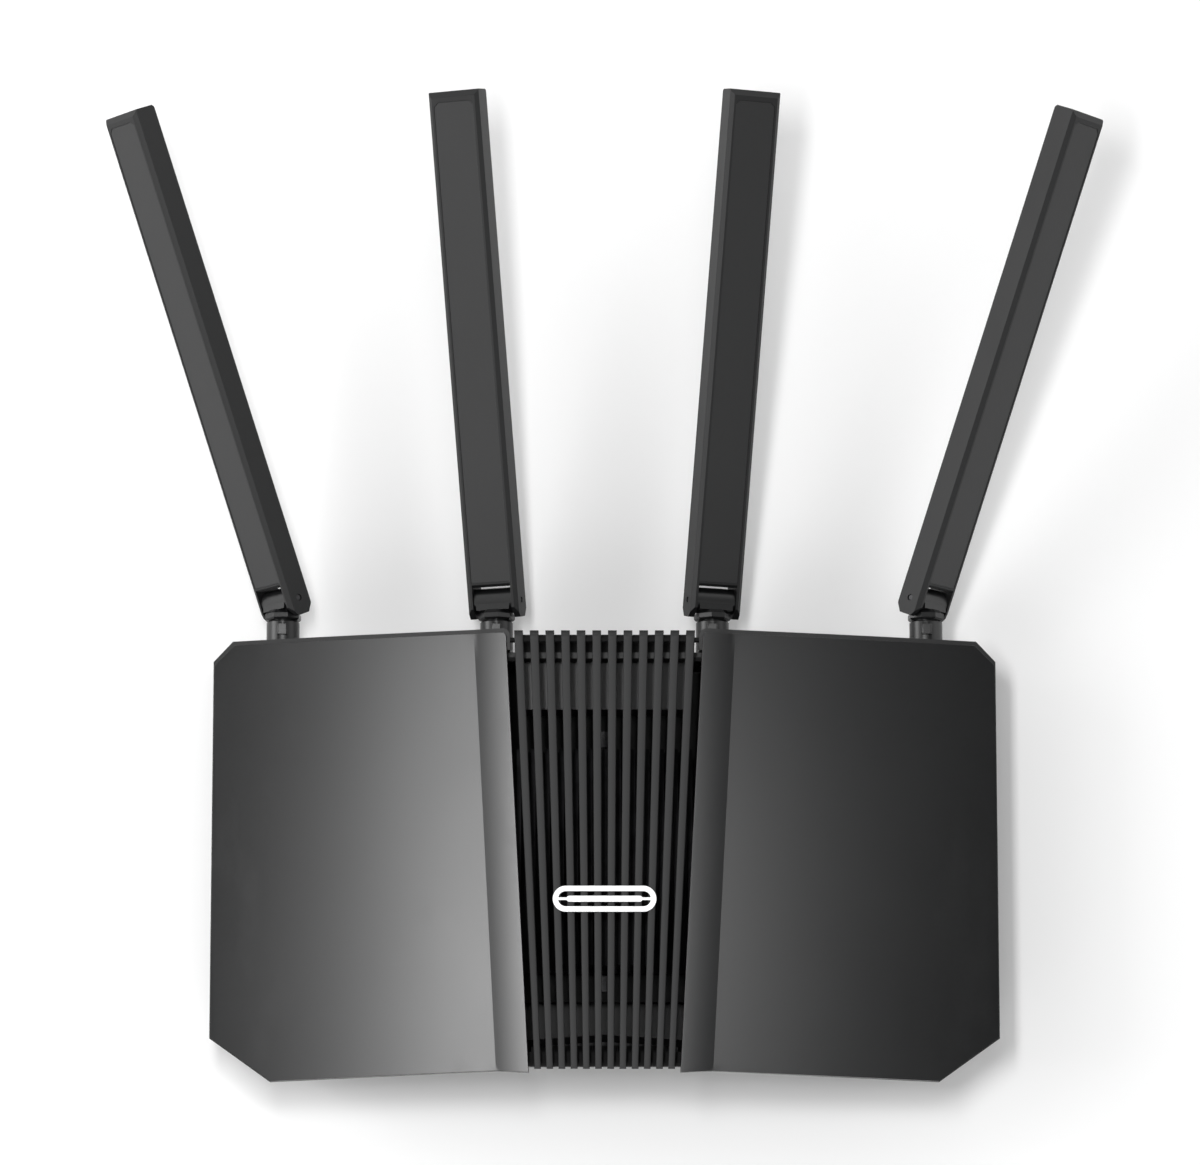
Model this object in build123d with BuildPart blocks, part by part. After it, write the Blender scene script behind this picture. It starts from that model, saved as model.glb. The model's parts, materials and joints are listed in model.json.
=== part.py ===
from build123d import *
from math import cos, radians, sin, tan
import os

# A wireless router: a low tapered housing closed by two sloping covers, a fanned vent grille
# between them, and four flat antennas that tilt and swivel on collars in the rear wall.
# Millimetres, +Z up, the front faces -Y. "Left" and "right" are those of a person who stands in
# front. The pieces are drawn about the middle of the body, on the plane of the feet. They are
# written about the middle of the whole footprint, antennas included, which lies further back.

os.makedirs("parts", exist_ok=True)

FOOTPRINT_Y = 91.635  # middle of the body to the middle of the footprint

# ---------------------------------------------------------------- body
HALF_WIDTH = 129.5  # covers, middle to side edge
COVER_FRONT_Y = -72.6  # front edge at the outer corners
COVER_REAR_Y = 72.6  # rear edge at the outer corners
FRONT_SWEEP = 2.7  # both edges run towards the rear as they near the middle
REAR_SWEEP = 3.0
FRONT_CORNER = (20.0, 14.6)  # clipped front corners, along X and Y
REAR_CORNER = 6.7  # clipped rear corners
INNER_CORNER_RADIUS = 1.6
COVER_THICK = 2.2
LOW_Z = 2.0  # underside of the housing, on its feet
WALL = 2.0
FLOOR_Z = LOW_Z + WALL
REAR_WALL_Y = 70.0
REAR_RIM = 1.7  # the housing's rim shows this far behind the covers
SIDE_RIM = 0.3
FRONT_RIM = 0.1
RIM_TUCK = 1.2  # the rear rim runs this far in past the covers' inner edges
FRONT_DRAFT = 20.0  # degrees that the walls lean in towards the base
CORNER_DRAFT = 18.0
SIDE_DRAFT = 12.0
LIP_THICK = 2.4

# ---------------------------------------------------------------- roof
CHANNEL_HALF = 28.6  # middle to the edge of the grille channel, at the body's middle
CHANNEL_FLARE = 0.0535  # the channel widens by this much per millimetre towards the rear
SHOULDER_WIDTH = 10.6  # curved strip beside the channel
SHOULDER_RISE = 1.4
SHOULDER_CROWN = 0.26
CREASE_X = 39.2
CREASE_Z = 36.6
PANEL_SLOPE = tan(radians(3.0))
PANEL_CURVE = 0.00046  # the panels fall away faster towards the sides
ROOF_END = 145.0
ROOF_SPAN = 95.0

# ---------------------------------------------------------------- grille
RIB_COUNT = 12
RIB_PITCH = (3.97, 5.18)  # front, rear
RIB_WIDTH = (2.2, 2.9)
RIB_TOP = 37.2
RIB_UNDER = 31.0
RIB_FRONT_Y = -69.6
RIB_REAR_Y = 76.6
RIB_WRAP = 2.8  # thickness of the legs that turn down at both ends
REAR_LEG_Z = 25.0
FRONT_LEG_Z = 15.0
BAR_Z = (33.6, 36.3)
BADGE_BAR = 32.0
SHELF_GAP = 0.3  # between the shelves that close the slots' ends and the housing's walls

# ---------------------------------------------------------------- antennas
PIVOT_Y = 89.5
PIVOT_Z = 19.0
INNER_X = 36.0
OUTER_X = 107.2
INNER_POSE = (13.7, 19.0)  # tilt above the collar's axis, swivel outwards
OUTER_POSE = (22.6, 51.0)
BLADE_WIDTH = 17.7
BLADE_THICK = 9.4
BLADE_REACH = 170.5  # pivot to tip
BLADE_HEEL = 5.6  # pivot to the ends of the ears
BLADE_EDGE = 1.25
TIP_BEVEL = (2.0, 1.6)  # front edge of the tip, along the blade and into its face
HEEL_BEVEL = (2.2, 2.4)
BLADE_WALL = 1.5
FORK_WIDTH = 13.5
FORK_DEPTH = 5.0
FORK_EASE = 0.9  # chamfer at the fork's root, which clears the block when the blade stands up
FACE_INSET = 0.15
FACE_THICK = 1.3
FACE_MARGIN = 2.0
BARREL_RADIUS = 4.3
BARREL_LENGTH = 13.2
PIN_RADIUS = 1.0
RUNNING_GAP = 0.05
BLOCK_RADIUS = 6.15
BLOCK_FROM_PIVOT = (3.4, 6.9)
BLOCK_BEVEL = (1.45, 0.6)  # towards the blade, towards the collar
COLLAR_RADIUS = 5.5
COLLAR_FLARE = 1.2
COLLAR_GAP = 0.35
SPIGOT_RADIUS = 4.0
SPIGOT_BORE = 1.5

# ---------------------------------------------------------------- inside
BOARD_Z = 8.0
BOARD_THICK = 1.6
BOARD_TOP = BOARD_Z + BOARD_THICK
BOARD_HALF_X = 100.0
BOARD_Y = (-44.0, 66.5)
BOARD_SCREWS = [(x, y) for x in (-92.0, 0.0, 92.0) for y in (-38.0, 44.0)]
CASE_SCREWS = [(x, y) for x in (-112.0, 112.0) for y in (-27.0, 39.0)]
FEET = [(x, y) for x in (-104.0, 104.0) for y in (-44.0, 58.0)]
FOOT_RADIUS = 6.5
KEYHOLE_X = 48.0
KEYHOLE_Y = 8.0
KEYHOLE_RADIUS = 4.0
BADGE_Y = -13.4
FLOOR_SLOT = 3.0
FLOOR_SLOT_PITCH = 7.5
LIGHT_ROW = [52 + 7 * k for k in range(6)]  # places of the status lights
LIGHT_Z = 12.5
PROCESSOR_HEIGHT = 1.6
PAD_THICK = 1.0
SINK_Z = BOARD_TOP + PROCESSOR_HEIGHT + PAD_THICK
SINK_BASE = 2.4
SINK_SIZE = (58.0, 74.0)
SINK_FINS = 13
SINK_TOP = 27.0
LEAD_RADIUS = 0.7
LEAD_PLUG_HEIGHT = 1.9
LEADS = [(-OUTER_X, 12.0), (-INNER_X, -10.0), (INNER_X, 10.0), (OUTER_X, -12.0)]

# ---------------------------------------------------------------- rear panel
LAN_JACKS = 4
LAN_PITCH = 13.6
JACK_HEIGHT = 13.0
JACK_DEPTH = 18.5
JACK_FACE_Y = REAR_WALL_Y + 0.6
JACK_Z = BOARD_TOP + JACK_HEIGHT / 2
WAN_X = 55.0
USB_X = 76.0
USB_Z = BOARD_TOP + 3.8
WPS_X = 92.0
DC_X = -90.0
POWER_X = -74.0
RESET_X = -61.0
BUTTON_Z = 16.5
BUTTON_TRAVEL = 1.5
STEM = 3.0
DC_Z = 15.0


def save(maker, name):
    """Writes a finished sub-part as one node, about the middle of the footprint."""
    piece = maker.part.moved(Location((0, -FOOTPRINT_Y, 0)))
    piece.label = name
    export_step(piece, f"parts/{name}.step")


def channel_edge(y):
    """Distance from the middle to the edge of the grille channel at y."""
    return CHANNEL_HALF + CHANNEL_FLARE * y


def panel_height(x):
    """Height of a cover's main panel at x."""
    out = x - CREASE_X
    return CREASE_Z - PANEL_SLOPE * out - PANEL_CURVE * out * out


def under_roof(drop):
    """The space under the right half of the roof, lowered by drop."""
    with BuildPart() as space:
        for y in (-ROOF_SPAN, ROOF_SPAN):
            edge = channel_edge(y)
            crease = edge + SHOULDER_WIDTH
            crease_z = panel_height(crease)
            edge_z = crease_z + SHOULDER_RISE
            middle_x = (crease + ROOF_END) / 2
            end = (ROOF_END, panel_height(ROOF_END))
            across = Plane(origin=(0, y, -drop), x_dir=(1, 0, 0), z_dir=(0, -1, 0))
            with BuildSketch(across):
                with BuildLine():
                    Polyline(end, (ROOF_END, -20), (0, -20), (0, edge_z), (edge, edge_z))
                    ThreePointArc(
                        (edge, edge_z),
                        (edge + SHOULDER_WIDTH / 2, (edge_z + crease_z) / 2 + SHOULDER_CROWN),
                        (crease, crease_z),
                    )
                    ThreePointArc((crease, crease_z), (middle_x, panel_height(middle_x)), end)
                make_face()
        loft(ruled=True)
    return space.part


ROOF = under_roof(0)
SEAM = under_roof(COVER_THICK)
RAIL_UNDER = under_roof(COVER_THICK + 2.4)
LIP_UNDER = under_roof(COVER_THICK + LIP_THICK)


def tub(inset, bottom):
    """The right half of the housing's leaning walls, as a solid moved in by inset."""
    corner_x = HALF_WIDTH - FRONT_CORNER[0]
    corner_y = COVER_FRONT_Y - FRONT_RIM
    side_x = HALF_WIDTH + SIDE_RIM
    side_y = COVER_FRONT_Y + FRONT_CORNER[1]
    rear_side_y = COVER_REAR_Y - REAR_CORNER
    rear_x = side_x - (REAR_WALL_Y - rear_side_y)
    slope = FRONT_SWEEP / (corner_x - CREASE_X)
    middle_y = corner_y + slope * corner_x
    front = (corner_x, corner_y, panel_height(corner_x) - COVER_THICK)
    side = (side_x, side_y, panel_height(side_x) - COVER_THICK)
    middle = (CREASE_X, corner_y + FRONT_SWEEP, CREASE_Z - COVER_THICK)
    walls = [
        (middle, front, Vector(0, 1, 0), FRONT_DRAFT),
        (front, side, Vector(-1, 1, 0).normalized(), CORNER_DRAFT),
        (side, (side_x, 0, side[2]), Vector(-1, 0, 0), SIDE_DRAFT),
    ]
    with BuildPart() as half:
        with BuildSketch(Plane.XY.offset(bottom)):
            with BuildLine():
                Polyline(
                    (0, REAR_WALL_Y - inset),
                    (rear_x - inset * tan(radians(22.5)), REAR_WALL_Y - inset),
                    (side_x - inset, rear_side_y - inset * tan(radians(22.5))),
                    (side_x - inset, side_y),
                    (corner_x, corner_y + inset),
                    (0, middle_y + inset),
                    close=True,
                )
            make_face()
        extrude(amount=60)
        for start, end, inward, draft in walls:
            along = Vector(*end) - Vector(*start)
            down = inward * tan(radians(draft)) + Vector(0, 0, -1)
            facing = along.cross(down).normalized()
            if facing.dot(inward) < 0:
                facing = facing * -1
            wall = Plane(origin=Vector(*start) + facing * inset, z_dir=facing)
            split(bisect_by=wall, keep=Keep.TOP)
    return half.part


OUTER_TUB = tub(0, LOW_Z)
INNER_TUB = tub(WALL, FLOOR_Z)


def window(x, y, z, width, depth, height):
    """A plain box cut out of the part being built, centred on x, y and z."""
    with Locations((x, y, z)):
        Box(width, depth, height, mode=Mode.SUBTRACT)


# ================================================================ housing
with BuildPart() as right_lip:
    add(SEAM)
    rim_edge = channel_edge(COVER_REAR_Y) - RIM_TUCK
    outer = HALF_WIDTH - REAR_CORNER
    with BuildSketch():
        with BuildLine():
            Polyline(
                (rim_edge, REAR_WALL_Y - WALL),
                (rim_edge, COVER_REAR_Y + REAR_SWEEP + REAR_RIM),
                (outer + 0.6, COVER_REAR_Y + REAR_RIM),
                (HALF_WIDTH + SIDE_RIM, COVER_REAR_Y - REAR_CORNER + REAR_RIM),
                (HALF_WIDTH + SIDE_RIM, COVER_REAR_Y - REAR_CORNER - 4),
                (outer - 2, REAR_WALL_Y - WALL),
                close=True,
            )
        make_face()
        fillet(vertices().group_by(Axis.Y)[-1], radius=2.6)
    extrude(amount=60, mode=Mode.INTERSECT)
    add(LIP_UNDER, mode=Mode.SUBTRACT)

with BuildPart() as housing:
    add(OUTER_TUB)
    add(SEAM, mode=Mode.INTERSECT)
    add(INNER_TUB, mode=Mode.SUBTRACT)
    add(right_lip.part)
    mirror(about=Plane.YZ)
    # bosses for the board and the case screws stand on the floor
    with BuildSketch(Plane.XY.offset(FLOOR_Z)):
        with Locations(*BOARD_SCREWS):
            Circle(3.2)
    extrude(amount=BOARD_Z - FLOOR_Z)
    with BuildSketch(Plane.XY.offset(FLOOR_Z)):
        with Locations(*CASE_SCREWS):
            Circle(4.6)
    extrude(amount=2.0)
    with BuildSketch(Plane.XY.offset(FLOOR_Z + 0.4)):
        with Locations(*BOARD_SCREWS):
            Circle(1.2)
    extrude(amount=BOARD_Z, mode=Mode.SUBTRACT)
    with BuildSketch(Plane.XY.offset(LOW_Z)):
        with Locations(*CASE_SCREWS):
            Circle(3.3)
    extrude(amount=2.2, mode=Mode.SUBTRACT)
    with BuildSketch(Plane.XY.offset(LOW_Z)):
        with Locations(*CASE_SCREWS):
            Circle(1.7)
    extrude(amount=10, mode=Mode.SUBTRACT)
    # shallow seats for the feet
    with BuildSketch(Plane.XY.offset(LOW_Z)):
        with Locations(*FEET):
            Circle(FOOT_RADIUS)
    extrude(amount=0.6, mode=Mode.SUBTRACT)
    # the grille's channel through the front wall, and the roof between the covers
    with BuildSketch(Plane.XY.offset(FRONT_LEG_Z - 1.0)):
        with BuildLine():
            Polyline((-24.2, -80), (24.2, -80), (24.2, -50), (-24.2, -50), close=True)
        make_face()
    extrude(amount=40, mode=Mode.SUBTRACT)
    window(0, COVER_FRONT_Y + 6, RIB_UNDER + 10, 62, 20, 20)
    window(0, REAR_WALL_Y - 3, RIB_UNDER + 9.4, 2 * (channel_edge(COVER_REAR_Y) - RIM_TUCK), 12, 20)
    window(0, REAR_WALL_Y - 4, RIB_UNDER + 9.8, 2 * channel_edge(REAR_WALL_Y) + 10, 7.9, 20)
    # collar holes
    for x in (-OUTER_X, -INNER_X, INNER_X, OUTER_X):
        with BuildSketch(Plane(origin=(x, REAR_WALL_Y + 1, PIVOT_Z), z_dir=(0, -1, 0))):
            Circle(COLLAR_RADIUS)
        extrude(amount=8, mode=Mode.SUBTRACT)
    # rear panel: network jacks, USB, supply, and the button holes
    window(0, REAR_WALL_Y, JACK_Z, LAN_JACKS * LAN_PITCH + 0.8, 8, JACK_HEIGHT + 0.4)
    window(WAN_X, REAR_WALL_Y, JACK_Z, LAN_PITCH + 0.8, 8, JACK_HEIGHT + 0.4)
    window(USB_X, REAR_WALL_Y, USB_Z, 14.8, 8, 7.8)
    window(DC_X, REAR_WALL_Y, BOARD_TOP + 5.1, 9.8, 8, 10.6)
    for x, radius in ((POWER_X, 4.3), (WPS_X, 3.0), (RESET_X, 1.3)):
        with BuildSketch(Plane(origin=(x, REAR_WALL_Y + 1, BUTTON_Z), z_dir=(0, -1, 0))):
            Circle(radius)
        extrude(amount=8, mode=Mode.SUBTRACT)
    # front wall: six small openings for the status lights
    for x in LIGHT_ROW:
        window(x, COVER_FRONT_Y + 10.6, LIGHT_Z, 3.4, 18, 1.8)
    # underside: two groups of vent slots and two keyholes for wall screws
    with BuildSketch(Plane.XY.offset(LOW_Z - 1)):
        with GridLocations(0, FLOOR_SLOT_PITCH, 1, 9):
            SlotOverall(66, FLOOR_SLOT)
        for side in (-1, 1):
            with Locations((side * 74, -4)):
                with GridLocations(0, FLOOR_SLOT_PITCH, 1, 7):
                    SlotOverall(20, FLOOR_SLOT)
    extrude(amount=WALL + 2, mode=Mode.SUBTRACT)
    with BuildSketch(Plane.XY.offset(LOW_Z - 1)):
        with Locations((-KEYHOLE_X, KEYHOLE_Y), (KEYHOLE_X, KEYHOLE_Y)):
            Circle(KEYHOLE_RADIUS)
        with Locations((-KEYHOLE_X, KEYHOLE_Y + 4.5), (KEYHOLE_X, KEYHOLE_Y + 4.5)):
            SlotOverall(11, 4.0, rotation=90)
    extrude(amount=WALL + 2, mode=Mode.SUBTRACT)
save(housing, "lower_housing")

# ================================================================ covers
with BuildPart() as right_cover:
    add(ROOF)
    rear_inner = COVER_REAR_Y + REAR_SWEEP
    front_inner = COVER_FRONT_Y + FRONT_SWEEP
    with BuildSketch():
        with BuildLine():
            Polyline(
                (channel_edge(rear_inner), rear_inner),
                (HALF_WIDTH - REAR_CORNER, COVER_REAR_Y),
                (HALF_WIDTH, COVER_REAR_Y - REAR_CORNER),
                (HALF_WIDTH, COVER_FRONT_Y + FRONT_CORNER[1]),
                (HALF_WIDTH - FRONT_CORNER[0], COVER_FRONT_Y),
                (channel_edge(front_inner) + SHOULDER_WIDTH, front_inner),
                (channel_edge(front_inner - 0.6), front_inner - 0.6),
                close=True,
            )
        make_face()
        fillet(vertices().group_by(Axis.Y)[-1], radius=INNER_CORNER_RADIUS)
    extrude(amount=60, mode=Mode.INTERSECT)
    add(SEAM, mode=Mode.SUBTRACT)
    # locating rib inside the side walls, and the posts that take the case screws
    right_screws = [p for p in CASE_SCREWS if p[0] > 0]
    with BuildSketch(Plane.XY.offset(FLOOR_Z + 2.1)):
        with Locations(*right_screws):
            Circle(3.6)
    extrude(until=Until.NEXT)
    with BuildSketch(Plane.XY.offset(FLOOR_Z)):
        with Locations(*right_screws):
            Circle(1.3)
    extrude(amount=14, mode=Mode.SUBTRACT)
save(right_cover, "right_cover")

with BuildPart() as left_cover:
    mirror(right_cover.part, about=Plane.YZ)
save(left_cover, "left_cover")

# ================================================================ vent grille
lean = tan(radians(FRONT_DRAFT))
front_foot_y = RIB_FRONT_Y + (RIB_TOP - FRONT_LEG_Z) * lean

with BuildPart() as rib_profile:
    with BuildSketch(Plane.YZ.offset(-40)):
        with BuildLine():
            Polyline(
                (RIB_FRONT_Y + 1.0, RIB_TOP),
                (RIB_REAR_Y - 2.4, RIB_TOP),
                (RIB_REAR_Y, RIB_TOP - 2.2),
                (RIB_REAR_Y, REAR_LEG_Z),
                (RIB_REAR_Y - RIB_WRAP, REAR_LEG_Z),
                (RIB_REAR_Y - RIB_WRAP, RIB_UNDER),
                (RIB_FRONT_Y + RIB_WRAP + (RIB_TOP - RIB_UNDER) * lean, RIB_UNDER),
                (front_foot_y + RIB_WRAP, FRONT_LEG_Z),
                (front_foot_y, FRONT_LEG_Z),
                (RIB_FRONT_Y + 0.4, RIB_TOP - 1.0),
                close=True,
            )
        make_face()
    extrude(amount=80)

with BuildPart() as vent_grille:
    with BuildSketch(Plane.XY.offset(10)):
        for k in range(RIB_COUNT):
            place = k - (RIB_COUNT - 1) / 2
            front = place * RIB_PITCH[0]
            rear = place * RIB_PITCH[1]
            with BuildLine():
                Polyline(
                    (front - RIB_WIDTH[0] / 2, RIB_FRONT_Y),
                    (front + RIB_WIDTH[0] / 2, RIB_FRONT_Y),
                    (rear + RIB_WIDTH[1] / 2, RIB_REAR_Y),
                    (rear - RIB_WIDTH[1] / 2, RIB_REAR_Y),
                    close=True,
                )
            make_face()
    extrude(amount=30)
    add(rib_profile.part, mode=Mode.INTERSECT)
    chamfer(edges().filter_by(Axis.Y, tolerance=6).group_by(Axis.Z)[-1], length=0.35)
    # bars across both ends, across the feet of the legs, and one out of sight under the badge,
    # with a lug at each side of the rear wall that carries the rail under the cover's edge,
    # and a shelf at each end that closes the slots between the legs and the wall
    bar_height = BAR_Z[1] - BAR_Z[0]
    bar_middle = (BAR_Z[0] + BAR_Z[1]) / 2
    rear_half = channel_edge(COVER_REAR_Y) - RIM_TUCK
    front_half = channel_edge(RIB_FRONT_Y) + 3
    with Locations((0, RIB_REAR_Y - 3.1, bar_middle - 1.0)):
        Box(2 * rear_half, 1.2, bar_height)
    with Locations((0, RIB_FRONT_Y + 1.9, bar_middle - 1.0)):
        Box(2 * front_half, 1.0, bar_height)
    outer_rib = 5.5 * RIB_PITCH[1]
    lug_reach = channel_edge(REAR_WALL_Y) + 4 - outer_rib
    for side in (-1, 1):
        with Locations((side * (outer_rib + lug_reach / 2), REAR_WALL_Y - WALL - 0.7, RIB_UNDER + 1.0)):
            Box(lug_reach, 1.2, 2.0)
    with Locations((0, RIB_REAR_Y - RIB_WRAP / 2, REAR_LEG_Z + 1)):
        Box(11 * RIB_PITCH[1] + 2, RIB_WRAP, 2)
    with Locations((0, front_foot_y + RIB_WRAP / 2 - 0.3, FRONT_LEG_Z + 1)):
        Box(11 * RIB_PITCH[0] + 2.4, RIB_WRAP - 0.6, 2)
    rear_shelf = (REAR_WALL_Y + SHELF_GAP, RIB_REAR_Y - RIB_WRAP + 0.4)
    with Locations((0, sum(rear_shelf) / 2, REAR_LEG_Z + 1)):
        Box(11 * RIB_PITCH[1] + 2, rear_shelf[1] - rear_shelf[0], 2)
    with Locations((0, RIB_FRONT_Y + 4.2, RIB_UNDER + SHELF_GAP + 0.6)):
        Box(2 * channel_edge(RIB_FRONT_Y) + 2, 4.4, 1.2)
    with Locations((0, BADGE_Y, RIB_UNDER + 0.8)):
        Box(BADGE_BAR, 2, 1.6)
    # rails under the edges of the covers
    with BuildPart(mode=Mode.PRIVATE) as rail:
        add(SEAM)
        with BuildSketch():
            with BuildLine():
                Polyline(
                    (channel_edge(RIB_FRONT_Y + 1.4) + 0.5, RIB_FRONT_Y + 1.4),
                    (channel_edge(RIB_FRONT_Y + 1.4) + 5.0, RIB_FRONT_Y + 1.4),
                    (channel_edge(REAR_WALL_Y - WALL) + 5.0, REAR_WALL_Y - WALL - 0.1),
                    (channel_edge(REAR_WALL_Y - WALL) + 0.5, REAR_WALL_Y - WALL - 0.1),
                    close=True,
                )
            make_face()
        extrude(amount=60, mode=Mode.INTERSECT)
        add(RAIL_UNDER, mode=Mode.SUBTRACT)
    add(rail.part)
    mirror(rail.part, about=Plane.YZ)
save(vent_grille, "vent_grille")

with BuildPart() as badge:
    # a plain oblong ring with a bar in it, standing on the ribs
    with BuildSketch(Plane(origin=(0, BADGE_Y, RIB_TOP))):
        SlotOverall(34.0, 8.6)
        SlotOverall(30.4, 5.0, mode=Mode.SUBTRACT)
        SlotOverall(25.0, 2.0)
        Rectangle(33.0, 0.9)
    extrude(amount=0.7)
save(badge, "badge")

# ================================================================ board and what it carries
with BuildPart() as main_board:
    with BuildSketch(Plane.XY.offset(BOARD_Z)):
        with Locations((0, sum(BOARD_Y) / 2)):
            RectangleRounded(2 * BOARD_HALF_X, BOARD_Y[1] - BOARD_Y[0], 3)
        with Locations(*BOARD_SCREWS):
            Circle(1.7, mode=Mode.SUBTRACT)
    extrude(amount=BOARD_THICK)
save(main_board, "main_board")


def on_board(x, y, size, name):
    """A plain block standing on the board, saved as one node."""
    width, depth, height = size
    with BuildPart() as block:
        with BuildSketch(Plane.XY.offset(BOARD_TOP)):
            with Locations((x, y)):
                RectangleRounded(width, depth, 0.6)
        extrude(amount=height)
        chamfer(faces().sort_by(Axis.Z)[-1].edges(), length=0.3)
    save(block, name)
    return block


on_board(0, 8, (17, 17, PROCESSOR_HEIGHT), "processor")

with BuildPart() as thermal_pad:
    with BuildSketch(Plane.XY.offset(BOARD_TOP + PROCESSOR_HEIGHT)):
        with Locations((0, 8)):
            Rectangle(16, 16)
    extrude(amount=PAD_THICK)
save(thermal_pad, "thermal_pad")

with BuildPart() as heat_sink:
    with BuildSketch(Plane.XY.offset(SINK_Z)):
        with Locations((0, 2)):
            RectangleRounded(*SINK_SIZE, 1.5)
    extrude(amount=SINK_BASE)
    with BuildSketch(Plane.XY.offset(SINK_Z + SINK_BASE)):
        with Locations((0, 2)):
            with GridLocations(SINK_SIZE[0] / (SINK_FINS - 0.7), 0, SINK_FINS, 1):
                Rectangle(1.5, SINK_SIZE[1] - 2)
    extrude(amount=SINK_TOP - SINK_Z - SINK_BASE)
save(heat_sink, "heat_sink")

with BuildPart() as memory_chips:
    with BuildSketch(Plane.XY.offset(BOARD_TOP)):
        with Locations((-40, -26), (-40, -8), (40, -26)):
            Rectangle(12, 9)
        with Locations((40, -10)):
            Rectangle(8, 6)
    extrude(amount=1.2)
save(memory_chips, "memory_chips")

with BuildPart() as rf_shields:
    # two open-bottomed cans over the radio circuits
    with BuildSketch(Plane.XY.offset(BOARD_TOP)):
        with Locations((-66, 6), (66, 6)):
            RectangleRounded(38, 30, 1.0)
    extrude(amount=4.0)
    with BuildSketch(Plane.XY.offset(BOARD_TOP)):
        with Locations((-66, 6), (66, 6)):
            Rectangle(37.4, 29.4)
    extrude(amount=3.7, mode=Mode.SUBTRACT)
save(rf_shields, "rf_shields")


def network_jack(x, count, name):
    """A row of network sockets in one moulding, open towards the rear."""
    width = count * LAN_PITCH
    with BuildPart() as jack:
        with BuildSketch(Plane.XY.offset(BOARD_TOP)):
            with Locations((x, JACK_FACE_Y - JACK_DEPTH / 2)):
                Rectangle(width, JACK_DEPTH)
        extrude(amount=JACK_HEIGHT)
        with BuildSketch(Plane(origin=(x, JACK_FACE_Y, BOARD_TOP), z_dir=(0, -1, 0), x_dir=(1, 0, 0))):
            with GridLocations(LAN_PITCH, 0, count, 1):
                with Locations((0, 6.6)):
                    Rectangle(11.8, 8.2)
                with Locations((0, 2.2)):
                    Rectangle(6.2, 2.6)
                with Locations((0, 11.1)):
                    Rectangle(4.0, 1.4)
        extrude(amount=14.0, mode=Mode.SUBTRACT)
    save(jack, name)
    return jack


network_jack(0, LAN_JACKS, "lan_jacks")
network_jack(WAN_X, 1, "wan_jack")

with BuildPart() as jack_contacts:
    # eight sprung wires in every network socket, lying along its roof
    for x in [WAN_X] + [(k - (LAN_JACKS - 1) / 2) * LAN_PITCH for k in range(LAN_JACKS)]:
        with BuildSketch(Plane.XY.offset(BOARD_TOP + 10.1)):
            with Locations((x, JACK_FACE_Y - 8.5)):
                with GridLocations(1.02, 0, 8, 1):
                    Rectangle(0.45, 10.0)
        extrude(amount=0.6)
save(jack_contacts, "jack_contacts")

with BuildPart() as usb_port:
    with BuildSketch(Plane.XY.offset(BOARD_TOP)):
        with Locations((USB_X, REAR_WALL_Y + 0.8 - 7)):
            Rectangle(14.2, 14)
    extrude(amount=7.2)
    rear = Plane(origin=(USB_X, REAR_WALL_Y + 0.8, USB_Z - 0.2), z_dir=(0, -1, 0), x_dir=(1, 0, 0))
    with BuildSketch(rear):
        Rectangle(12.6, 5.6)
    extrude(amount=11.0, mode=Mode.SUBTRACT)
    with BuildSketch(rear.offset(2.0)):
        with Locations((0, 1.0)):
            Rectangle(11.0, 1.5)
    extrude(amount=9.5)
save(usb_port, "usb_port")

with BuildPart() as dc_jack:
    with BuildSketch(Plane.XY.offset(BOARD_TOP)):
        with Locations((DC_X, REAR_WALL_Y + 0.8 - 7)):
            Rectangle(9.4, 14)
    extrude(amount=10.2)
    mouth = Plane(origin=(DC_X, REAR_WALL_Y + 0.8, DC_Z), z_dir=(0, -1, 0), x_dir=(1, 0, 0))
    with BuildSketch(mouth):
        Circle(2.85)
    extrude(amount=10.0, mode=Mode.SUBTRACT)
    with BuildSketch(mouth.offset(1.0)):
        Circle(1.0)
    extrude(amount=10.0)
save(dc_jack, "dc_jack")


def rear_button(x, radius, proud, reach, name):
    """A round button through the rear wall, with a collar inside and a stem reaching forward."""
    tip = REAR_WALL_Y + proud
    with BuildPart() as button:
        with BuildSketch(Plane(origin=(x, tip, BUTTON_Z), z_dir=(0, -1, 0))):
            Circle(radius)
        extrude(amount=proud + WALL + 0.3)
        with BuildSketch(Plane(origin=(x, REAR_WALL_Y - WALL - 0.3, BUTTON_Z), z_dir=(0, -1, 0))):
            Circle(radius + 0.9)
        extrude(amount=1.0)
        with BuildSketch(Plane(origin=(x, REAR_WALL_Y - WALL - 1.3, BUTTON_Z), z_dir=(0, -1, 0))):
            Circle(min(radius, 1.6))
        extrude(amount=reach)
        chamfer(faces().sort_by(Axis.Y)[-1].edges(), length=min(0.4, radius / 3))
    save(button, name)
    return button


rear_button(POWER_X, 4.0, 2.0, STEM, "power_button")
rear_button(WPS_X, 2.7, 1.8, STEM, "wps_button")
rear_button(RESET_X, 1.0, -0.6, STEM, "reset_button")

with BuildPart() as button_switches:
    # tactile switches stand on the board, just beyond the end of each button's travel
    stem_end = REAR_WALL_Y - WALL - 1.3 - STEM
    for x in (POWER_X, WPS_X, RESET_X):
        with BuildSketch(Plane.XY.offset(BOARD_TOP)):
            with Locations((x, stem_end - BUTTON_TRAVEL - 0.4 - 2.0)):
                Rectangle(6.0, 4.0)
        extrude(amount=9.0)
save(button_switches, "button_switches")

with BuildPart() as status_leds:
    with BuildSketch(Plane.XY.offset(BOARD_TOP)):
        with Locations(*[(x, BOARD_Y[0] + 2.0) for x in LIGHT_ROW]):
            Rectangle(1.6, 3.0)
    extrude(amount=0.8)
save(status_leds, "status_leds")

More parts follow.
